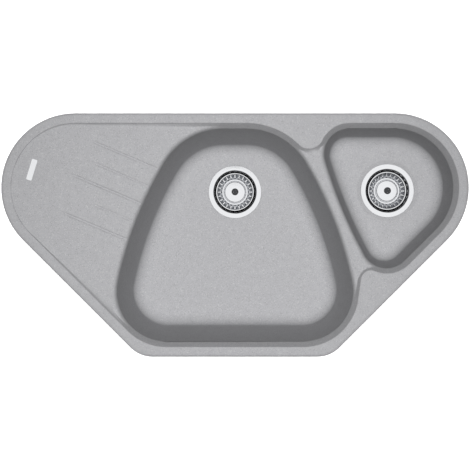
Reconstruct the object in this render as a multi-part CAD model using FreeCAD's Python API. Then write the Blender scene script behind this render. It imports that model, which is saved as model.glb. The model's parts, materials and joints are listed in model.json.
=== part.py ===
import FreeCAD, Part

import math
import os

from FreeCAD import Placement, Rotation, Vector

# Corner sink with a drainer, a main bowl and a side bowl, dropped into a worktop from above.
# Millimetres. X runs along the long edge, Y across it, Z up. Z = 0 is the top of the worktop,
# and X = Y = 0 is the middle of the sink seen from above.

# Plan of the sink
sink_length = 960.0
sink_width = 500.0
end_radius = 152.5            # round ends, left and right
nose_radius = 65.0            # the two corners of the short edge
end_to_nose_slope = 45.0      # degrees, the slanted edges

# Rim and deck
rim_height = 8.0              # top of the rim above the worktop
rim_edge_radius = 7.0
rim_band = 20.0               # flat band between the outer edge and the step
cutout_inset = 13.0           # worktop cut-out, measured inwards from the outer edge
rim_inner_radius = 2.6        # rounding where the rim turns down
deck_drop = 11.0              # the sunk deck lies this far below the rim
deck_thickness = 9.0
deck_margin = 0.2             # the deck's own slope stays this far inside the shoulder of a bowl
shoulder_width = 10.8         # a steep shoulder leads from the rim down into each bowl
shoulder_depth = 20.0
shoulder_foot_radius = 20.0
lip_radius = 9.0              # rounding where the deck turns down into a bowl

# Front and rear ledges, the places where the rim reaches in between the bowls
front_ledge_radius = 30.0
rear_ledge_radius = 21.0
rear_ledge_bearing = -113.0   # degrees, from the side bowl's nose to the rear ledge

# Drainer
drainer_rise = 9.0            # the deck climbs this much towards the left end
drainer_foot = 8.0            # the climb starts this far left of the main bowl
groove_angle = -23.0          # degrees
groove_pitch = 39.6
groove_lengths = (158.0, 143.0, 172.0, 108.0, 156.0)
groove_depths = (2.2, 2.0, 2.6, 1.6, 2.6)
groove_radius = 6.0
groove_inset = 187.7          # from the long edge to where the middle groove meets the bowl
groove_run_out = 15.0         # the grooves' cutting shapes reach this far over the bowl

# Bowls
wall = 9.0
floor_thickness = 13.0
main_depth = 190.0            # below the rim
main_draft = 10.8             # degrees
main_floor_radius = 30.0
bowl_divide = 18.0            # between the two bowls, measured along the long edge
main_shoulder_spread = 23.5   # half the distance between the two shoulder centres
main_nose_radius = 103.0
main_flank_radius = 800.0
side_depth = 130.0
side_draft = 9.0
side_floor_radius = 28.0
side_corner_radius = 52.0
side_corner_spread = 92.0     # from the middle of the round end, along the long edge
side_nose_spread = 114.0      # from the middle of the round end, across the sink
side_flank_radius = 1000.0

# Waste outlets
main_waste_inset = 127.7      # from the shoulder on the long side to the middle of the waste
side_waste_shift = (-7.5, -4.5)  # from the middle of the round end
dish_depth = 3.0              # the floor falls this much towards the waste
main_dish_radius = 92.0
side_dish_radius = 64.0
flange_radius = 56.0
flange_seat_gap = 0.6         # between the flange's edge and its seat
flange_rise = 2.4
flange_crown_inset = 6.5      # from the flange's edge to its highest ring
flange_throat = 1.5           # from the cup's wall to the flange's highest ring
steel = 1.2
waste_hole_radius = 45.0
cup_hole_gap = 0.5            # between the cup and the hole in the bowl
cup_taper = 2.0
cup_depth = 38.0
cup_corner_radius = 6.0
drain_hole_radius = 4.5
drain_hole_margin = 1.0       # between the drain holes and the basket's seal
drain_hole_count = 8
flange_gasket_thickness = 1.2
lower_gasket_thickness = 2.5
lower_gasket_inset = 1.0
plastic = 3.5
body_flange_radius = 59.0
body_mouth_gap = 1.0          # the plastic body is this much wider than the hole in the bowl
well_depth = 16.0             # room for water between the cup and the cone
cone_height = 13.0
outlet_radius = 23.9
outlet_length = 32.0
boss_radius = 8.5
boss_margin = 4.0             # the boss is this much longer than the screw in it
spider_count = 4
spider_turn = 45.0            # degrees, the first rib's direction
spider_thickness = 3.0
spider_height = 9.0

# Centre screw of a waste
screw_radius = 4.0
screw_length = 18.0
screw_head_radius = 7.5
screw_head_height = 9.0
screw_gap = 0.25
thread_gap = 0.05
socket_depth = 7.5

# Strainer basket
stem_radius = 3.0
stem_running_gap = 0.08
stem_end_gap = 0.3
collar_radius = 5.5
collar_height = 1.5
basket_steel = 1.0
basket_rim_radius = 40.0
basket_rim_below = 8.0        # rim of the basket below the flange's seat
basket_rim_width = 2.5
basket_rim_depth = 3.0        # upright part of the wall under the rim
dome_radius = 22.0
dome_below = 17.0             # top of the dome below the flange's seat
dome_crown = 3.0
dome_flat = 9.0
dome_curve = 45.0
basket_foot_inner = 24.0
basket_foot_outer = 27.5
slot_count = 24
slot_width = 2.6
slot_margin = 1.0             # unslotted steel at the foot and at the rim of the basket
seal_height = 3.2
seal_gap = 0.2
seal_lip = 4.0
knob_height = 24.0
knob_top_radius = 7.3
knob_neck_radius = 5.4
knob_cap = 5.5                # height of the wide part
knob_flare = 3.5              # height of the cone under it
knob_gap = 0.3
stem_in_knob = 12.0

# Seal under the rim
seal_inset = 3.0
seal_width = 6.0
seal_thickness = 1.5

# Blank badge on the drainer
badge_length = 44.0
badge_width = 11.5
badge_thickness = 1.0
badge_corner_radius = 2.0
badge_shift = (-89.5, 36.5)   # from the middle of the left round end
badge_angle = 73.0            # degrees

# Fixing clips
worktop_thickness = 38.0
front_clips = (-0.62, -0.22, 0.20, 0.66)  # along the long edge, in half lengths
slope_clips = ((-1, 0.11), (-1, 0.66), (1, 0.48))  # side, and share of the way down the slanted edge
clip_post_radius = 5.5
clip_post_length = 14.0
plug_radius = 3.5
plug_length = 13.0
plug_collar_radius = 4.5
plug_collar = 1.0
clip_screw_radius = 2.1
clip_screw_bite = 10.0        # how far the screw reaches into its plug
clip_head_radius = 4.2
clip_head_height = 3.0
hex_radius = 2.3
hex_depth = 1.8
claw_thickness = 2.5
claw_width = 9.0
claw_reach = 19.5
claw_heel = 5.0
claw_tooth = 3.0
claw_tooth_length = 3.0
claw_running_gap = 0.08
claw_grip_gap = 0.5           # from the tooth to the underside of the worktop

# Half-made tap holes in the underside of the two ledges
tap_hole_radius = 17.5
tap_hole_skin = 4.0

# Heights that follow from the sizes above
deck_level = rim_height - deck_drop
tray_bottom = deck_level - deck_thickness
shoulder_foot = rim_height - shoulder_depth
shoulder_slope = shoulder_width / shoulder_depth
step_width = deck_drop * shoulder_slope
post_bottom = tray_bottom - clip_post_length
main_floor = rim_height - main_depth
side_floor = rim_height - side_depth
past = 1.0                    # cutting shapes reach this far past the face they open


def turned(angle):
    """Unit vector in the plan at an angle in degrees."""
    return math.cos(math.radians(angle)), math.sin(math.radians(angle))


def touching_circle(first, second, radius, side):
    """Circle of a signed radius that touches two circles. Side 1 is left of the way between them."""
    x1, y1, r1 = first
    x2, y2, r2 = second
    reach1 = abs(radius - r1)
    reach2 = abs(radius - r2)
    gap = math.hypot(x2 - x1, y2 - y1)
    along = (reach1 ** 2 - reach2 ** 2 + gap ** 2) / (2 * gap)
    across = side * math.sqrt(reach1 ** 2 - along ** 2)
    ux, uy = (x2 - x1) / gap, (y2 - y1) / gap
    return x1 + along * ux - across * uy, y1 + along * uy + across * ux, radius


def tangent_run(first, second):
    """Bearing of the line that leaves the first circle and meets the second, with its two ends."""
    x1, y1, r1 = first
    x2, y2, r2 = second
    gap = math.hypot(x2 - x1, y2 - y1)
    lean = math.asin(max(-1.0, min(1.0, (r1 - r2) / gap)))
    bearing = math.atan2(y2 - y1, x2 - x1) + lean
    nx, ny = math.sin(bearing), -math.cos(bearing)
    start = (x1 + r1 * nx, y1 + r1 * ny)
    end = (x2 + r2 * nx, y2 + r2 * ny)
    if math.dist(start, end) < 0.001:
        end = start
    return bearing, start, end


def outline(circles, inset, z):
    """Closed wire round a ring of circles, joined by tangent lines. A negative radius is hollow."""
    ring = [(x, y, radius - inset) for x, y, radius in circles]
    runs = [tangent_run(ring[i], ring[(i + 1) % len(ring)]) for i in range(len(ring))]
    edges = []
    for i, (x, y, radius) in enumerate(ring):
        arrival, _, start = runs[i - 1]
        departure, end, far = runs[i]
        turn = (departure - arrival) % (2 * math.pi)
        if radius < 0:
            turn -= 2 * math.pi
        middle = arrival + turn / 2
        halfway = Vector(x + radius * math.sin(middle), y - radius * math.cos(middle), z)
        edges.append(Part.Arc(Vector(*start, z), halfway, Vector(*end, z)).toShape())
        if far != end:
            edges.append(Part.LineSegment(Vector(*end, z), Vector(*far, z)).toShape())
    return Part.Wire(edges)


def slab(circles, inset, low, high):
    """Straight-sided solid over an outline."""
    return Part.Face(outline(circles, inset, low)).extrude(Vector(0, 0, high - low))


def tapered(circles, low_inset, low, high_inset, high):
    """Solid whose sides slope evenly between two insets of one outline."""
    wires = [outline(circles, low_inset, low), outline(circles, high_inset, high)]
    return Part.makeLoft(wires, True, True)


def edges_at(shape, z):
    """Edges that lie flat at one height."""
    return [edge for edge in shape.Edges
            if abs(edge.BoundBox.ZMin - z) < 0.01 and abs(edge.BoundBox.ZMax - z) < 0.01]


def tube(radius, low, high, place=(0, 0)):
    return Part.makeCylinder(radius, high - low, Vector(place[0], place[1], low))


def turned_solid(corners, place, seat):
    """Solid turned about a vertical axis. Corners are (radius, height, rounding) round its section."""
    points = [Vector(radius, 0, height) for radius, height, _ in corners]
    pieces = []
    for i, point in enumerate(points):
        rounding = corners[i][2]
        back = (points[i - 1] - point).normalize()
        ahead = (points[(i + 1) % len(points)] - point).normalize()
        half = back.getAngle(ahead) / 2
        cut = rounding / math.tan(half)
        crown = point + (back + ahead).normalize() * (rounding / math.sin(half) - rounding)
        pieces.append((point + back * cut, crown, point + ahead * cut))
    edges = []
    for i, (start, crown, end) in enumerate(pieces):
        if corners[i][2]:
            edges.append(Part.Arc(start, crown, end).toShape())
        following = pieces[(i + 1) % len(pieces)][0]
        edges.append(Part.LineSegment(end, following).toShape())
    solid = Part.Face(Part.Wire(edges)).revolve(Vector(0, 0, 0), Vector(0, 0, 1), 360)
    solid.translate(Vector(place[0], place[1], seat))
    return solid


def around(shape, place, count, start=0.0):
    """Copies of a shape, evenly spaced about a vertical axis."""
    copies = []
    for i in range(count):
        copy = shape.copy()
        copy.rotate(Vector(place[0], place[1], 0), Vector(0, 0, 1), start + 360.0 * i / count)
        copies.append(copy)
    return copies


# Plan outlines, each a ring of circles in order, against the clock

half_length = sink_length / 2
half_width = sink_width / 2
bowl_inset = rim_band + shoulder_width
right_end = (half_length - end_radius, half_width - end_radius, end_radius)
left_end = (-right_end[0], right_end[1], end_radius)
slope_x, slope_y = turned(end_to_nose_slope - 90)
slope_reach = right_end[0] * slope_x + right_end[1] * slope_y + end_radius


def on_slope(y, radius, inset):
    """Circle at height y in the plan that keeps an inset from the right slanted edge."""
    return (slope_reach - inset - radius - y * slope_y) / slope_x, y, radius


def mirrored(circle):
    return -circle[0], circle[1], circle[2]


right_nose = on_slope(nose_radius - half_width, nose_radius, 0)
sink_plan = [right_end, left_end, mirrored(right_nose), right_nose]

side_end = (right_end[0], right_end[1], end_radius - bowl_inset)
side_corner_x = right_end[0] - side_corner_spread
side_corner = (side_corner_x, half_width - bowl_inset - side_corner_radius, side_corner_radius)
side_nose = on_slope(right_end[1] - side_nose_spread, side_corner_radius, bowl_inset)
side_flank = touching_circle(side_corner, side_nose, side_flank_radius, 1)
side_plan = [side_end, side_corner, side_flank, side_nose]

main_shoulder_radius = side_corner_x - side_corner_radius - bowl_divide - main_shoulder_spread
main_shoulder = (main_shoulder_spread, half_width - bowl_inset - main_shoulder_radius, main_shoulder_radius)
main_nose = on_slope(bowl_inset + main_nose_radius - half_width, main_nose_radius, bowl_inset)
main_flank = touching_circle(main_nose, main_shoulder, main_flank_radius, 1)
main_plan = [main_shoulder, mirrored(main_shoulder), mirrored(main_flank), mirrored(main_nose),
             main_nose, main_flank]

main_waste = (0.0, half_width - bowl_inset - main_waste_inset)
side_waste = (right_end[0] + side_waste_shift[0], right_end[1] + side_waste_shift[1])
badge_place = (left_end[0] + badge_shift[0], left_end[1] + badge_shift[1])


def widened(circle, width):
    return circle[0], circle[1], circle[2] + width


deck_reach = shoulder_width - deck_margin


def front_ledge():
    return touching_circle(widened(side_corner, deck_reach), widened(main_shoulder, deck_reach),
                           -front_ledge_radius, -1)


def rear_ledge():
    """The hollow circle that touches the side bowl's nose, which is round a tap's place."""
    x, y, radius = widened(side_nose, deck_reach)
    ux, uy = turned(rear_ledge_bearing)
    reach = radius + rear_ledge_radius
    return x + reach * ux, y + reach * uy, -rear_ledge_radius


deck_plan = [widened(side_end, deck_reach), widened(side_corner, deck_reach), front_ledge(),
             widened(main_shoulder, deck_reach), widened(left_end, -rim_band),
             widened(mirrored(main_nose), deck_reach), widened(main_nose, deck_reach),
             rear_ledge(), widened(side_nose, deck_reach)]

drainer_start = mirrored(main_nose)[0] - main_nose_radius - drainer_foot
drainer_end = rim_band - half_length
drainer_slope = math.atan(drainer_rise / (drainer_start - drainer_end))


def drainer_level(x):
    return deck_level + max(0.0, drainer_start - x) * math.tan(drainer_slope)


def clip_places():
    """Middle of each clip's post, with the direction straight out over the rim in degrees."""
    inset = cutout_inset + clip_post_radius
    shelf = half_width - inset
    places = [(share * half_length, shelf, 90.0) for share in front_clips] + [(0.0, -shelf, 270.0)]
    reach = end_radius - inset
    _, top, bottom = tangent_run(right_nose, right_end)
    slope_length = math.dist(top, bottom)
    for side, share in slope_clips:
        along = share * slope_length
        x = side * (right_end[0] + reach * slope_x + along * slope_y)
        y = right_end[1] + reach * slope_y - along * slope_x
        places.append((x, y, math.degrees(math.atan2(slope_y, side * slope_x))))
    return places


# The moulded sink body

def edges_on(shape, wire):
    """Edges whose middle lies on a wire."""
    chosen = []
    for edge in shape.Edges:
        middle = edge.valueAt((edge.FirstParameter + edge.LastParameter) / 2)
        if wire.distToShape(Part.Vertex(middle))[0] < 0.05:
            chosen.append(edge)
    return chosen


def bowl_space(plan, draft, floor, floor_radius):
    """Inside of a bowl from its flat floor up past the rim, with the shoulder flaring out."""
    slope = math.tan(math.radians(draft))
    top = rim_height + past
    wires = [outline(plan, (shoulder_foot - floor) * slope, floor), outline(plan, 0, shoulder_foot),
             outline(plan, (shoulder_foot - top) * shoulder_slope, top)]
    space = Part.makeLoft(wires, True, True)
    space = space.makeFillet(shoulder_foot_radius, edges_at(space, shoulder_foot))
    return space.makeFillet(floor_radius, edges_at(space, floor))


def rounded_mouth(plan, space, level, radius):
    """The space below a level, with a rounded edge where it comes out of a flat face there."""
    low = level - radius
    margin = (shoulder_foot - level) * shoulder_slope - 2 * radius
    block = slab(plan, margin, low, level)
    mouth = outline(plan, (shoulder_foot - level) * shoulder_slope, level)
    collar = block.cut(space)
    collar = collar.makeFillet(radius, edges_on(collar, mouth))
    return block.cut(collar)


def bowl_shell(plan, draft, floor, floor_radius):
    """Outside of a bowl, from within the deck down to its underside."""
    slope = math.tan(math.radians(draft))
    bottom = floor - floor_thickness
    shell = tapered(plan, (shoulder_foot - bottom) * slope - wall, bottom,
                    (shoulder_foot - deck_level) * slope - wall, deck_level)
    return shell.makeFillet(floor_radius + wall, edges_at(shell, bottom))


def deck_funnel():
    """Space within the slope that leads down from the rim, carried on below the deck."""
    low = tray_bottom
    return tapered(deck_plan, (rim_height - low) * shoulder_slope, low, -past * shoulder_slope,
                   rim_height + past)


def deck_cut():
    """Space over the sunk deck, with a floor that climbs along the drainer."""
    far = sink_length
    side = [Vector(far, -far, deck_level), Vector(drainer_start, -far, deck_level),
            Vector(-far, -far, drainer_level(-far)), Vector(-far, -far, far), Vector(far, -far, far)]
    above = Part.Face(Part.makePolygon(side + side[:1])).extrude(Vector(0, 2 * far, 0))
    return deck_funnel().common(above)


def groove(index):
    """One drainer groove, open at the bowl and fading out at its other end."""
    ux, uy = turned(groove_angle)
    flank_x, flank_y, flank_radius = mirrored(main_flank)
    middle_y = half_width - groove_inset
    middle_x = flank_x - math.sqrt(flank_radius ** 2 - (middle_y - flank_y) ** 2)
    across = (len(groove_lengths) // 2 - index) * groove_pitch
    end_x = middle_x - across * uy + groove_run_out * ux
    end_y = middle_y + across * ux + groove_run_out * uy
    length = groove_lengths[index] + groove_run_out
    start_x = end_x - length * ux
    start_y = end_y - length * uy
    lift = groove_radius - groove_depths[index]
    start = Vector(start_x, start_y, drainer_level(start_x) + lift + groove_depths[index])
    end = Vector(end_x, end_y, drainer_level(end_x) + lift)
    return Part.makeCylinder(groove_radius, (end - start).Length, start, end - start)


def waste_opening(place, floor, dish_radius):
    """Dished floor, flange seat and hole of one bowl."""
    seat = floor - dish_depth
    dish = Part.makeCone(flange_radius + flange_seat_gap, dish_radius, dish_depth,
                         Vector(place[0], place[1], seat))
    recess = tube(flange_radius + flange_seat_gap, seat - flange_gasket_thickness, seat + past, place)
    hole = tube(waste_hole_radius, floor - floor_thickness - past, floor, place)
    return dish.fuse([recess, hole])


def tap_holes():
    top = rim_height - tap_hole_skin
    return [tube(tap_hole_radius, tray_bottom - past, top, ledge[:2])
            for ledge in (front_ledge(), rear_ledge())]


def seal_ring():
    return slab(sink_plan, seal_inset, 0, seal_thickness).cut(
        slab(sink_plan, seal_inset + seal_width, 0, seal_thickness))


def make_moulding():
    """The whole moulding: rim, deck, drainer and both bowls."""
    plate = slab(sink_plan, 0, 0, rim_height)
    plate = plate.makeFillet(rim_edge_radius, edges_at(plate, rim_height))
    tray = slab(sink_plan, cutout_inset, tray_bottom, rim_height - rim_edge_radius)
    body = plate.fuse([tray, bowl_shell(main_plan, main_draft, main_floor, main_floor_radius),
                       bowl_shell(side_plan, side_draft, side_floor, side_floor_radius)] + clip_posts())
    body = body.cut(deck_cut()).removeSplitter()
    body = body.makeFillet(rim_inner_radius, edges_on(body, outline(deck_plan, 0, rim_height)))
    funnel = deck_funnel()
    for plan, draft, floor, floor_radius in ((main_plan, main_draft, main_floor, main_floor_radius),
                                             (side_plan, side_draft, side_floor, side_floor_radius)):
        space = bowl_space(plan, draft, floor, floor_radius)
        body = body.cut(space)
        body = body.cut(rounded_mouth(plan, space, rim_height, rim_inner_radius))
        body = body.cut(rounded_mouth(plan, space, deck_level, lip_radius).common(funnel))
    plug_holes = [tube(plug_radius, post_bottom - past, post_bottom + plug_length, (x, y))
                  for x, y, _ in clip_places()]
    cuts = [waste_opening(main_waste, main_floor, main_dish_radius),
            waste_opening(side_waste, side_floor, side_dish_radius), seal_ring()]
    cuts += [groove(i) for i in range(len(groove_lengths))]
    return body.cut(cuts + tap_holes() + plug_holes)


def clip_posts():
    return [tube(clip_post_radius, post_bottom, 0, (x, y)) for x, y, _ in clip_places()]


def divided_moulding():
    """The moulding in three pieces: the deck with its clip posts, and the two bowls hung under it."""
    moulding = make_moulding()
    size = 2 * sink_length
    under = Part.makeBox(size, size, size, Vector(-sink_length, -sink_length, tray_bottom - size))
    under = under.cut(clip_posts())
    bowls = moulding.common(under).Solids
    pieces = {"sink_body": moulding.cut(under)}
    for name, (x, y) in (("main_bowl", main_waste), ("side_bowl", side_waste)):
        pieces[name] = min(bowls, key=lambda bowl: math.dist((x, y), tuple(bowl.CenterOfMass)[:2]))
    return pieces


# Waste of one bowl: everything is placed from the seat of its flange

def make_waste_flange(place, seat):
    cup = waste_hole_radius - cup_hole_gap
    plate = -cup_depth
    drain_hole_ring = basket_foot_inner - drain_hole_margin - drain_hole_radius
    shell = turned_solid([
        (flange_radius, 0, 0), (flange_radius, steel, steel / 2),
        (flange_radius - flange_crown_inset, flange_rise, 6), (cup + flange_throat, flange_rise, 1.5),
        (cup - steel, 0, 1), (cup - steel - cup_taper, plate, cup_corner_radius),
        (screw_radius + screw_gap, plate, 0), (screw_radius + screw_gap, plate - steel, 0),
        (cup - cup_taper, plate - steel, cup_corner_radius + steel), (cup, 0, 0)], place, seat)
    hole = tube(drain_hole_radius, seat + plate - past - steel, seat + plate + past,
                (place[0] + drain_hole_ring, place[1]))
    return shell.cut(around(hole, place, drain_hole_count))


def ring(inner, outer, low, high, place):
    return tube(outer, low, high, place).cut(tube(inner, low, high, place))


def make_flange_gasket(place, seat):
    return ring(waste_hole_radius, flange_radius - flange_seat_gap,
                seat - flange_gasket_thickness, seat, place)


def body_mouth(seat):
    """Top of the plastic body, under the bowl's floor and the lower gasket."""
    return seat + dish_depth - floor_thickness - lower_gasket_thickness


def make_lower_gasket(place, seat):
    mouth = body_mouth(seat)
    return ring(waste_hole_radius, body_flange_radius - lower_gasket_inset, mouth,
                mouth + lower_gasket_thickness, place)


def make_waste_body(place, seat):
    mouth = body_mouth(seat) - seat
    boss_top = -cup_depth - steel
    well = boss_top - well_depth
    throat = well - cone_height
    end = throat - outlet_length
    inner = waste_hole_radius + body_mouth_gap
    boss_end = boss_top - screw_length - boss_margin
    shell = turned_solid([
        (inner, mouth, 0), (inner, well, 5), (outlet_radius - plastic, throat, 5),
        (outlet_radius - plastic, end, 0), (outlet_radius, end, 0.8), (outlet_radius, throat - plastic, 1),
        (inner + plastic, well - plastic, 6), (inner + plastic, mouth - plastic, 1),
        (body_flange_radius, mouth - plastic, 0.8), (body_flange_radius, mouth, 0.8)], place, seat)
    boss = tube(boss_radius, seat + boss_end, seat + boss_top, place)
    low = seat + boss_top - spider_height - plastic
    rib = Part.makeBox(inner + plastic / 2, spider_thickness, spider_height,
                       Vector(place[0], place[1] - spider_thickness / 2, low))
    ribs = around(rib, place, spider_count, spider_turn)
    bore = tube(screw_radius + thread_gap, seat + boss_end, seat + boss_top, place)
    return shell.fuse([boss] + ribs).cut(bore)


def make_waste_screw(place, seat):
    plate = -cup_depth
    top = plate + screw_head_height
    return turned_solid([
        (0, plate - screw_length, 0), (screw_radius, plate - screw_length, 0.8), (screw_radius, plate, 0),
        (screw_head_radius, plate, 0.5), (screw_head_radius, top, 1.2),
        (stem_radius + stem_running_gap, top, 0), (stem_radius + stem_running_gap, top - socket_depth, 0),
        (0, top - socket_depth, 0)], place, seat)


def make_basket(place, seat):
    foot = seal_height + seal_gap - cup_depth
    hub = -dome_below
    rim = -basket_rim_below
    thick = basket_steel
    hole = stem_radius + stem_running_gap
    throat = basket_rim_radius - basket_rim_width
    shell = turned_solid([
        (hole, hub, 0), (dome_flat, hub, dome_curve), (dome_radius, hub - dome_crown, 2),
        (basket_foot_inner, foot + thick, 1), (basket_foot_outer, foot + thick, 1.5),
        (throat, rim - basket_rim_depth, 1.5), (throat, rim, 0.8), (basket_rim_radius, rim, 0.4),
        (basket_rim_radius, rim - thick, 0), (throat + thick, rim - thick, 0.4),
        (throat + thick, rim - basket_rim_depth - thick / 3, 2.2), (basket_foot_outer + thick, foot, 1.5),
        (basket_foot_inner - thick, foot, 1), (dome_radius - thick, hub - dome_crown - thick, 1),
        (dome_flat, hub - thick, dome_curve - thick), (hole, hub - thick, 0)], place, seat)
    slot_start = basket_foot_outer + slot_margin
    slot = Part.makeBox(throat - slot_margin - slot_start, slot_width, cup_depth,
                        Vector(place[0] + slot_start, place[1] - slot_width / 2, seat - cup_depth))
    return shell.cut(around(slot, place, slot_count))


def make_basket_seal(place, seat):
    low = seal_gap - cup_depth
    return turned_solid([
        (basket_foot_inner, low, 0.6), (basket_foot_outer + seal_lip, low, 0.6),
        (basket_foot_outer, low + seal_height, 0.4), (basket_foot_inner, low + seal_height, 0)], place, seat)


def make_basket_stem(place, seat):
    end = screw_head_height - socket_depth + stem_end_gap - cup_depth
    collar = -dome_below - basket_steel - stem_running_gap
    top = knob_gap - dome_below + stem_in_knob
    return turned_solid([
        (0, end, 0), (stem_radius, end, 0.4), (stem_radius, collar - collar_height, 0),
        (collar_radius, collar - collar_height, 0.3), (collar_radius, collar, 0.3),
        (stem_radius, collar, 0), (stem_radius, top, 0), (0, top, 0)], place, seat)


def make_basket_knob(place, seat):
    base = knob_gap - dome_below
    top = base + knob_height
    return turned_solid([
        (stem_radius, base, 0), (knob_neck_radius, base, 0.6),
        (knob_neck_radius, top - knob_cap - knob_flare, 4), (knob_top_radius, top - knob_cap, 1.5),
        (knob_top_radius, top, 2), (0, top, 0),
        (0, base + stem_in_knob, 0), (stem_radius, base + stem_in_knob, 0)], place, seat)


def make_waste(name, place, floor):
    seat = floor - dish_depth
    return {
        name + "_waste_flange": make_waste_flange(place, seat),
        name + "_flange_gasket": make_flange_gasket(place, seat),
        name + "_lower_gasket": make_lower_gasket(place, seat),
        name + "_waste_body": make_waste_body(place, seat),
        name + "_waste_screw": make_waste_screw(place, seat),
        name + "_basket": make_basket(place, seat),
        name + "_basket_seal": make_basket_seal(place, seat),
        name + "_basket_stem": make_basket_stem(place, seat),
        name + "_basket_knob": make_basket_knob(place, seat),
    }


# Fixing clips

def make_clip_plug(x, y):
    plug = tube(plug_radius, post_bottom, post_bottom + plug_length, (x, y))
    collar = tube(plug_collar_radius, post_bottom - plug_collar, post_bottom, (x, y))
    bore = tube(clip_screw_radius, post_bottom - plug_collar, post_bottom + clip_screw_bite, (x, y))
    return plug.fuse(collar).cut(bore)


def claw_bottom():
    return -worktop_thickness - claw_grip_gap - claw_tooth - claw_thickness


def make_clip_screw(x, y):
    head_top = claw_bottom()
    head = tube(clip_head_radius, head_top - clip_head_height, head_top, (x, y))
    shank = tube(clip_screw_radius, head_top, post_bottom + clip_screw_bite, (x, y))
    corners = [Vector(x + hex_radius * ux, y + hex_radius * uy, head_top - clip_head_height)
               for ux, uy in (turned(60 * i) for i in range(7))]
    socket = Part.Face(Part.makePolygon(corners)).extrude(Vector(0, 0, hex_depth))
    return head.fuse(shank).cut(socket)


def make_clip_claw(x, y, outward):
    """Claw parked along the rim: a strip with a tooth that grips the worktop when it swings out."""
    low = claw_bottom()
    strip = Part.makeBox(claw_reach + claw_heel, claw_width, claw_thickness,
                         Vector(-claw_heel, -claw_width / 2, low))
    tooth = Part.makeBox(claw_tooth_length, claw_width, claw_tooth + claw_thickness,
                         Vector(claw_reach - claw_tooth_length, -claw_width / 2, low))
    heel = Part.makeBox(claw_thickness, claw_width, claw_tooth + claw_thickness,
                        Vector(-claw_heel, -claw_width / 2, low))
    claw = strip.fuse([tooth, heel]).removeSplitter()
    corners = [edge for edge in claw.Edges if edge.BoundBox.ZLength > claw_thickness + claw_tooth - 0.01]
    claw = claw.makeFillet(1.0, corners)
    claw = claw.cut(tube(clip_screw_radius + claw_running_gap, low, low + claw_thickness))
    claw.Placement = Placement(Vector(x, y, 0), Rotation(Vector(0, 0, 1), outward - 90))
    return claw


# Badge

def make_badge():
    x, y = badge_place
    plate = Part.makeBox(badge_length, badge_width, badge_thickness,
                         Vector(-badge_length / 2, -badge_width / 2, 0))
    upright = [edge for edge in plate.Edges if edge.BoundBox.ZLength > badge_thickness / 2]
    plate = plate.makeFillet(badge_corner_radius, upright)
    turn = Rotation(Vector(0, 0, 1), badge_angle)
    tilt = Rotation(Vector(0, 1, 0), math.degrees(drainer_slope))
    plate.Placement = Placement(Vector(x, y, drainer_level(x)), tilt.multiply(turn))
    return plate


def main():
    places = clip_places()
    parts = divided_moulding()
    parts["badge_plate"] = make_badge()
    parts["rim_seal"] = seal_ring()
    parts["clip_plugs"] = Part.makeCompound([make_clip_plug(x, y) for x, y, _ in places])
    parts["clip_screws"] = Part.makeCompound([make_clip_screw(x, y) for x, y, _ in places])
    for i, (x, y, outward) in enumerate(places):
        parts["clip_claw_" + str(i + 1)] = make_clip_claw(x, y, outward)
    parts.update(make_waste("main", main_waste, main_floor))
    parts.update(make_waste("side", side_waste, side_floor))
    os.makedirs("parts", exist_ok=True)
    for name, shape in parts.items():
        if shape.ShapeType == "Compound" and len(shape.Solids) == 1:
            shape = shape.Solids[0]
        print(name, "solids", len(shape.Solids), "valid", shape.isValid(),
              "litres", round(shape.Volume / 1e6, 4))
        shape.exportStep("parts/" + name + ".step")


main()
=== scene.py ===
import json
import math

import bmesh
import bpy
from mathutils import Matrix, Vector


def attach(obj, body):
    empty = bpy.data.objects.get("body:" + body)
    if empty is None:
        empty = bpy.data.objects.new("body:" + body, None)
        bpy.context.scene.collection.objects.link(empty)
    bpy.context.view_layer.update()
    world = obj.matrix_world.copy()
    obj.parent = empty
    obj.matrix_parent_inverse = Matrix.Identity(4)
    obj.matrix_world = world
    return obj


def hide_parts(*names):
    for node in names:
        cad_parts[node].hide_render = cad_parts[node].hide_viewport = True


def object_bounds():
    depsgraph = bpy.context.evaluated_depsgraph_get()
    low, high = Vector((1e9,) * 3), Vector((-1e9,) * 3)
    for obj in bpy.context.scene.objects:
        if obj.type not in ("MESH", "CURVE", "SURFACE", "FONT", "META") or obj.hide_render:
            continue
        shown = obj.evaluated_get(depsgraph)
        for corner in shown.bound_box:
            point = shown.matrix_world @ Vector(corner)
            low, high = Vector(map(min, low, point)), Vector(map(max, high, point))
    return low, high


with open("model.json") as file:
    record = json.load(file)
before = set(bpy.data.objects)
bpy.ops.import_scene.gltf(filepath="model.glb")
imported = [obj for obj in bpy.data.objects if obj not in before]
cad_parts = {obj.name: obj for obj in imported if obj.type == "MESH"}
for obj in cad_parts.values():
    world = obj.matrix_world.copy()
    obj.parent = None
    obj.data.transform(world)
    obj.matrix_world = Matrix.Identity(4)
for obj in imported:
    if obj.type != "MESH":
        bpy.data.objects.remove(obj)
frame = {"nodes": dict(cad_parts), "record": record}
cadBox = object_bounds()
nodes = frame["nodes"]
print("frame loaded:", len(nodes), "nodes")

mm = 0.001  # metres in a millimetre
white = (1.0, 1.0, 1.0, 1.0)


# helpers

# sRGB hex to the linear colour that a shader takes
def linearColour(hexColour):
    channels = [int(hexColour[i:i + 2], 16) / 255 for i in (1, 3, 5)]
    linear = [c / 12.92 if c <= 0.04045 else ((c + 0.055) / 1.055) ** 2.4 for c in channels]
    return (*linear, 1.0)


# adds one node: settings are its properties, links are values for its sockets or sockets to join.
# A socket goes by its name, with _ for a space, or by its number, as in i0.
def addNode(tree, kind, settings=None, **links):
    node = tree.nodes.new(kind)
    for name, value in (settings or {}).items():
        setattr(node, name, value)
    for name, value in links.items():
        key = int(name[1:]) if name[0] == "i" and name[1:].isdigit() else name.replace("_", " ")
        socket = node.inputs[key]
        if isinstance(value, bpy.types.NodeSocket):
            tree.links.new(value, socket)
        else:
            socket.default_value = value
    return node


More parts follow.
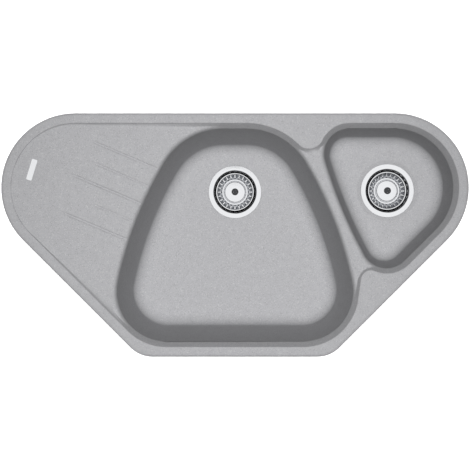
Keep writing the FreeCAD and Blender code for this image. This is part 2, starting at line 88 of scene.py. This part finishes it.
def newMaterial(name):
    material = bpy.data.materials.new(name)
    material.use_nodes = True
    material.node_tree.nodes.clear()
    return material, material.node_tree


def addObject(name, data):
    thing = bpy.data.objects.new(name, data)
    bpy.context.scene.collection.objects.link(thing)
    return thing


# granite composite: quartz grit in acrylic, moulded

compositeLook = {
    "colour": "#969698",
    "darkGrain": "#818183",
    "paleGrain": "#A9A9AB",
    "grainShare": 0.12,        # this share of the grains is darker, and as many are paler
    "grainMm": 1.1,            # real grit is about 0.4 mm; drawn coarser so that it shows
    "mottleMm": 14.0,
    "mottleDetail": 3.0,
    "mottleRoughness": 0.55,
    "mottleRange": (0.3, 0.7),  # the noise mostly stays between these
    "mottleTone": 0.03,        # how far the mottle darkens and lightens the stone
    "roughness": 0.6,
    "ior": 1.5,
    "specular": 0.1,           # low, because the grit scatters most of the sheen
    "bumpMm": 0.03,
    "bumpStrength": 0.5,
}


def makeComposite():
    look = compositeLook
    material, tree = newMaterial("granite composite moulded")
    # quartz grit gives a fine speckle and a dull sheen
    place = addNode(tree, "ShaderNodeTexCoord").outputs["Object"]
    grain = addNode(tree, "ShaderNodeTexVoronoi", {"feature": "F1"}, Vector=place,
                    Scale=1 / (look["grainMm"] * mm))
    speckle = addNode(tree, "ShaderNodeSeparateColor", Color=grain.outputs["Color"])
    tone = addNode(tree, "ShaderNodeValToRGB", Fac=speckle.outputs[0])
    ramp = tone.color_ramp.elements
    ramp[0].color = linearColour(look["darkGrain"])
    ramp[1].color = linearColour(look["paleGrain"])
    for position in (look["grainShare"], 1 - look["grainShare"]):
        ramp.new(position).color = linearColour(look["colour"])
    mottle = addNode(tree, "ShaderNodeTexNoise", Vector=place, Scale=1 / (look["mottleMm"] * mm),
                     Detail=look["mottleDetail"], Roughness=look["mottleRoughness"])
    low, high = look["mottleRange"]
    shade = addNode(tree, "ShaderNodeMapRange", Value=mottle.outputs["Fac"], From_Min=low, From_Max=high,
                    To_Min=1 - look["mottleTone"], To_Max=1 + look["mottleTone"])
    colour = addNode(tree, "ShaderNodeMix", {"data_type": "RGBA", "blend_type": "MULTIPLY"},
                     i0=1.0, i6=tone.outputs["Color"], i7=shade.outputs["Result"])
    bump = addNode(tree, "ShaderNodeBump", Strength=look["bumpStrength"], Distance=look["bumpMm"] * mm,
                   Height=grain.outputs["Distance"])
    shader = addNode(tree, "ShaderNodeBsdfPrincipled", Base_Color=colour.outputs[2],
                     Roughness=look["roughness"], IOR=look["ior"], Specular_IOR_Level=look["specular"],
                     Normal=bump.outputs[0])
    addNode(tree, "ShaderNodeOutputMaterial", Surface=shader.outputs[0])
    return material


# stainless steel, pressed and polished

steelLook = {
    "colour": "#D6D7D9",
    "roughness": 0.13,
    "smoothest": 0.8,    # share of the roughness where the polish is best
    "roughest": 1.3,
    "markMm": 0.4,       # real polishing marks are finer; drawn coarser so that they show
    "markDetail": 2.0,
    "bumpMm": 0.004,
    "bumpStrength": 0.3,
}


def makeSteel():
    look = steelLook
    material, tree = newMaterial("stainless steel polished")
    # polishing leaves fine marks that break up the highlights a little
    place = addNode(tree, "ShaderNodeTexCoord").outputs["Object"]
    marks = addNode(tree, "ShaderNodeTexNoise", Vector=place, Scale=1 / (look["markMm"] * mm),
                    Detail=look["markDetail"])
    rough = addNode(tree, "ShaderNodeMapRange", Value=marks.outputs["Fac"],
                    To_Min=look["roughness"] * look["smoothest"],
                    To_Max=look["roughness"] * look["roughest"])
    bump = addNode(tree, "ShaderNodeBump", Strength=look["bumpStrength"], Distance=look["bumpMm"] * mm,
                   Height=marks.outputs["Fac"])
    shader = addNode(tree, "ShaderNodeBsdfPrincipled", Base_Color=linearColour(look["colour"]),
                     Metallic=1.0, Roughness=rough.outputs[0], Normal=bump.outputs[0])
    addNode(tree, "ShaderNodeOutputMaterial", Surface=shader.outputs[0])
    return material


# plain moulded and plated finishes; their grain is as coarse as it needs to be to show

plainLooks = {
    # a soft, even gleam
    "badge": {"name": "aluminium satin anodised", "colour": "#DFE0E2", "metallic": 1.0,
              "roughness": 0.42, "grainMm": 0.5, "bumpMm": 0.005},
    # cut cells, dull and dark
    "foam": {"name": "EPDM foam strip cut", "colour": "#2A2A2C", "metallic": 0.0,
             "roughness": 0.9, "grainMm": 0.8, "bumpMm": 0.2},
    # black with a faint sheen
    "rubber": {"name": "NBR rubber moulded", "colour": "#222224", "metallic": 0.0,
               "roughness": 0.6, "grainMm": 0.6, "bumpMm": 0.02},
    # cream and half glossy
    "nylon": {"name": "nylon moulded", "colour": "#E2E1DB", "metallic": 0.0,
              "roughness": 0.45, "grainMm": 1.0, "bumpMm": 0.01},
    # cool white and waxy
    "polypropylene": {"name": "polypropylene moulded", "colour": "#E4E6E8", "metallic": 0.0,
                      "roughness": 0.4, "grainMm": 1.2, "bumpMm": 0.015},
    # smooth, with a clear highlight
    "knob": {"name": "ABS moulded gloss", "colour": "#1B1C1F", "metallic": 0.0,
             "roughness": 0.22, "grainMm": 1.0, "bumpMm": 0.003},
    # bluish grey, with blurred reflections
    "zinc": {"name": "steel zinc plated", "colour": "#C9CCD0", "metallic": 1.0,
             "roughness": 0.35, "grainMm": 0.7, "bumpMm": 0.008},
}

plainGrain = {"detail": 3.0, "tone": 0.06, "bumpStrength": 0.5}


def makePlain(look):
    material, tree = newMaterial(look["name"])
    place = addNode(tree, "ShaderNodeTexCoord").outputs["Object"]
    grain = addNode(tree, "ShaderNodeTexNoise", Vector=place, Scale=1 / (look["grainMm"] * mm),
                    Detail=plainGrain["detail"])
    shade = addNode(tree, "ShaderNodeMapRange", Value=grain.outputs["Fac"],
                    To_Min=1 - plainGrain["tone"], To_Max=1 + plainGrain["tone"])
    colour = addNode(tree, "ShaderNodeMix", {"data_type": "RGBA", "blend_type": "MULTIPLY"},
                     i0=1.0, i6=linearColour(look["colour"]), i7=shade.outputs["Result"])
    bump = addNode(tree, "ShaderNodeBump", Strength=plainGrain["bumpStrength"],
                   Distance=look["bumpMm"] * mm, Height=grain.outputs["Fac"])
    shader = addNode(tree, "ShaderNodeBsdfPrincipled", Base_Color=colour.outputs[2],
                     Metallic=look["metallic"], Roughness=look["roughness"], Normal=bump.outputs[0])
    addNode(tree, "ShaderNodeOutputMaterial", Surface=shader.outputs[0])
    return material


finishes = {slot: makePlain(look) for slot, look in plainLooks.items()}
finishes["composite"] = makeComposite()
finishes["stainless"] = makeSteel()
print("materials made:", len(finishes))

for row in frame["record"]["subparts"]:
    mesh = nodes[row["node"]].data
    mesh.materials.clear()
    mesh.materials.append(finishes[row["material_slot"]])
print("materials laid on")


# drainer: its grooves run up to the main bowl and are cut deeper here, along the deck, so that they show

drainerLook = {
    "angle": -23.0,              # degrees, from the direction of the long edge
    "pitch": 39.6 * mm,
    "lengths": (158 * mm, 143 * mm, 172 * mm, 108 * mm, 156 * mm),  # the one by the long edge first
    "depths": (2.1 * mm, 1.8 * mm, 2.5 * mm, 1.5 * mm, 2.5 * mm),
    "middleEnd": (-189.0 * mm, 62.3 * mm),  # where the middle groove meets the bowl's lip
    "overBowl": 10 * mm,         # the cutter reaches this far past the lip
    "fade": 25 * mm,             # a groove sinks in from the deck over this length
    "radius": 3.2 * mm,
    "stations": 24,
    "sides": 16,
    "deckLevel": -3.0 * mm,      # beside the bowl
    "climbFrom": -251.2 * mm,    # from here the deck rises to the left
    "climb": 0.043,              # rise for each unit of that way
    "weld": 0.001 * mm,
    "sharpAngle": 32,            # degrees; edges above this stay crisp
    "areaWeight": 100,           # large faces set the shading of the small ones beside them
}


def deckHeight(x):
    look = drainerLook
    return look["deckLevel"] + max(0.0, look["climbFrom"] - x) * look["climb"]


# a round bar that follows the deck, sinks in to its full depth and ends over the bowl
def addCutter(mesh, index):
    look = drainerLook
    radius, sides = look["radius"], look["sides"]
    angle = math.radians(look["angle"])
    ux, uy = math.cos(angle), math.sin(angle)
    across = (len(look["lengths"]) // 2 - index) * look["pitch"]
    endX = look["middleEnd"][0] - across * uy + look["overBowl"] * ux
    endY = look["middleEnd"][1] + across * ux + look["overBowl"] * uy
    length = look["lengths"][index] + look["overBowl"]
    turns = [2 * math.pi * k / sides for k in range(sides)]
    rings = []
    for i in range(look["stations"] + 1):
        along = length * i / look["stations"]
        x, y = endX - (length - along) * ux, endY - (length - along) * uy
        share = min(1.0, along / look["fade"])
        depth = look["depths"][index] * share * share * (3 - 2 * share)
        z = deckHeight(x) + radius - depth
        rings.append([mesh.verts.new((x - uy * radius * math.cos(turn), y + ux * radius * math.cos(turn),
                                      z + radius * math.sin(turn))) for turn in turns])
    for near, far in zip(rings, rings[1:]):
        for k in range(sides):
            n = (k + 1) % sides
            mesh.faces.new((near[k], near[n], far[n], far[k]))
    mesh.faces.new(rings[0])
    mesh.faces.new(reversed(rings[-1]))


def makeDeck():
    look = drainerLook
    bars = bmesh.new()
    for index in range(len(look["lengths"])):
        addCutter(bars, index)
    bmesh.ops.recalc_face_normals(bars, faces=bars.faces)
    cutter = addObject("groove_cutters", bpy.data.meshes.new("groove cutters"))
    bars.to_mesh(cutter.data)
    bars.free()

    # the frame's mesh comes in loose patches, which are joined before the cut
    closed = bmesh.new()
    closed.from_mesh(nodes["sink_body"].data)
    bmesh.ops.remove_doubles(closed, verts=closed.verts, dist=look["weld"])
    deck = addObject("sink_deck", bpy.data.meshes.new("sink deck"))
    closed.to_mesh(deck.data)
    closed.free()

    cut = deck.modifiers.new("grooves", "BOOLEAN")
    cut.object = cutter
    cut.operation = "DIFFERENCE"
    cut.solver = "EXACT"
    bpy.context.view_layer.update()
    view = bpy.context.evaluated_depsgraph_get()
    mesh = bpy.data.meshes.new_from_object(deck.evaluated_get(view))
    deck.modifiers.clear()
    deck.data = mesh
    bpy.data.objects.remove(cutter)

    mesh.materials.clear()
    mesh.materials.append(finishes["composite"])
    mesh.shade_smooth()
    mesh.set_sharp_from_angle(angle=math.radians(look["sharpAngle"]))
    even = deck.modifiers.new("even shading", "WEIGHTED_NORMAL")
    even.keep_sharp = True
    even.weight = look["areaWeight"]
    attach(deck, "sink")
    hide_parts("sink_body")
    return deck


deck = makeDeck()
print("drainer grooves cut:", len(deck.data.polygons), "faces")


# floor, light and camera

studio = {
    "floorColour": "#F4F4F4",
    "floorGlow": 0.4,     # added for the camera and mirrors alone, so that the paper looks white
    "floorHalf": 6.0,
    "sunLevel": 3.05,
    "sunSpread": 14,      # degrees
    "sunLean": 1.5,       # degrees, from the long edge's side
    "sunHeight": 3.0,
    "lampWatts": 735,
    "lampHeight": 6.0,
    "lampRadius": 0.3,
    "lampCone": 13.5,     # degrees; the cone fades out past the middle, so that the ends are darker
    "lampFade": 0.75,
    "ambient": 0.03,
    "ceilingLevel": 1.25,
    "ceilingTop": 0.9,    # height of the direction in which mirrors see the full ceiling
    "ceilingFoot": 0.55,
    "roomLevel": 0.1,
    "cameraHeight": 5.5,  # above the top of the rim
    "cameraReach": 100,
    "viewWidth": 0.9639,  # metres across the picture at the top of the rim
}


def makeFloor():
    look = studio
    half, low = look["floorHalf"], cadBox[0].z
    mesh = bpy.data.meshes.new("floor")
    mesh.from_pydata([(-half, -half, low), (half, -half, low), (half, half, low), (-half, half, low)],
                     [], [(0, 1, 2, 3)])
    floor = addObject("floor", mesh)
    material, tree = newMaterial("floor paper")
    paper = addNode(tree, "ShaderNodeBsdfDiffuse", Color=linearColour(look["floorColour"]))
    glow = addNode(tree, "ShaderNodeEmission", Color=white, Strength=look["floorGlow"])
    both = addNode(tree, "ShaderNodeAddShader", i0=paper.outputs[0], i1=glow.outputs[0])
    path = addNode(tree, "ShaderNodeLightPath")
    seen = addNode(tree, "ShaderNodeMath", {"operation": "MAXIMUM"}, i0=path.outputs["Is Camera Ray"],
                   i1=path.outputs["Is Glossy Ray"])
    shader = addNode(tree, "ShaderNodeMixShader", i0=seen.outputs[0], i1=paper.outputs[0],
                     i2=both.outputs[0])
    addNode(tree, "ShaderNodeOutputMaterial", Surface=shader.outputs[0])
    mesh.materials.append(material)


# the camera sees white, mirrors see a bright ceiling with a dim room round it, and the object
# gets only a little light from all sides
def makeWorld():
    look = studio
    world = bpy.data.worlds.new("studio")
    world.use_nodes = True
    tree = world.node_tree
    tree.nodes.clear()
    path = addNode(tree, "ShaderNodeLightPath")
    seen = addNode(tree, "ShaderNodeMath", {"operation": "MAXIMUM"}, i0=path.outputs["Is Camera Ray"],
                   i1=path.outputs["Is Transmission Ray"])
    level = addNode(tree, "ShaderNodeMapRange", Value=seen.outputs[0], To_Min=look["ambient"], To_Max=1.0)
    place = addNode(tree, "ShaderNodeTexCoord").outputs["Generated"]
    direction = addNode(tree, "ShaderNodeSeparateXYZ", Vector=place)
    room = addNode(tree, "ShaderNodeMapRange", {"interpolation_type": "SMOOTHSTEP"},
                   Value=direction.outputs["Z"], From_Min=look["ceilingFoot"], From_Max=look["ceilingTop"],
                   To_Min=look["roomLevel"], To_Max=look["ceilingLevel"])
    strength = addNode(tree, "ShaderNodeMix", {"data_type": "FLOAT"}, i0=path.outputs["Is Glossy Ray"],
                       i2=level.outputs[0], i3=room.outputs[0])
    back = addNode(tree, "ShaderNodeBackground", Color=white, Strength=strength.outputs[0])
    addNode(tree, "ShaderNodeOutputWorld", Surface=back.outputs[0])
    bpy.context.scene.world = world


def makeLamps():
    look = studio
    sun = bpy.data.lights.new("top light", "SUN")
    sun.energy = look["sunLevel"]
    sun.angle = math.radians(look["sunSpread"])
    sunLamp = addObject("top light", sun)
    sunLamp.location = (0, 0, look["sunHeight"])
    sunLamp.rotation_euler = (-math.radians(look["sunLean"]), 0, 0)

    spot = bpy.data.lights.new("spot", "SPOT")
    spot.energy = look["lampWatts"]
    spot.shadow_soft_size = look["lampRadius"]
    spot.spot_size = math.radians(look["lampCone"])
    spot.spot_blend = look["lampFade"]
    spotLamp = addObject("spot", spot)
    spotLamp.location = (0, 0, look["lampHeight"])

    # the steel mirrors the ceiling instead
    for lamp in (sunLamp, spotLamp):
        lamp.visible_glossy = False


def makeCamera():
    look = studio
    lens = bpy.data.cameras.new("camera")
    lens.lens = lens.sensor_width * look["cameraHeight"] / look["viewWidth"]
    lens.clip_end = look["cameraReach"]
    camera = addObject("camera", lens)
    camera.location = (0, 0, cadBox[1].z + look["cameraHeight"])
    bpy.context.scene.camera = camera
    bpy.context.scene.view_settings.view_transform = "Standard"


makeFloor()
makeWorld()
makeLamps()
makeCamera()
print("studio set")
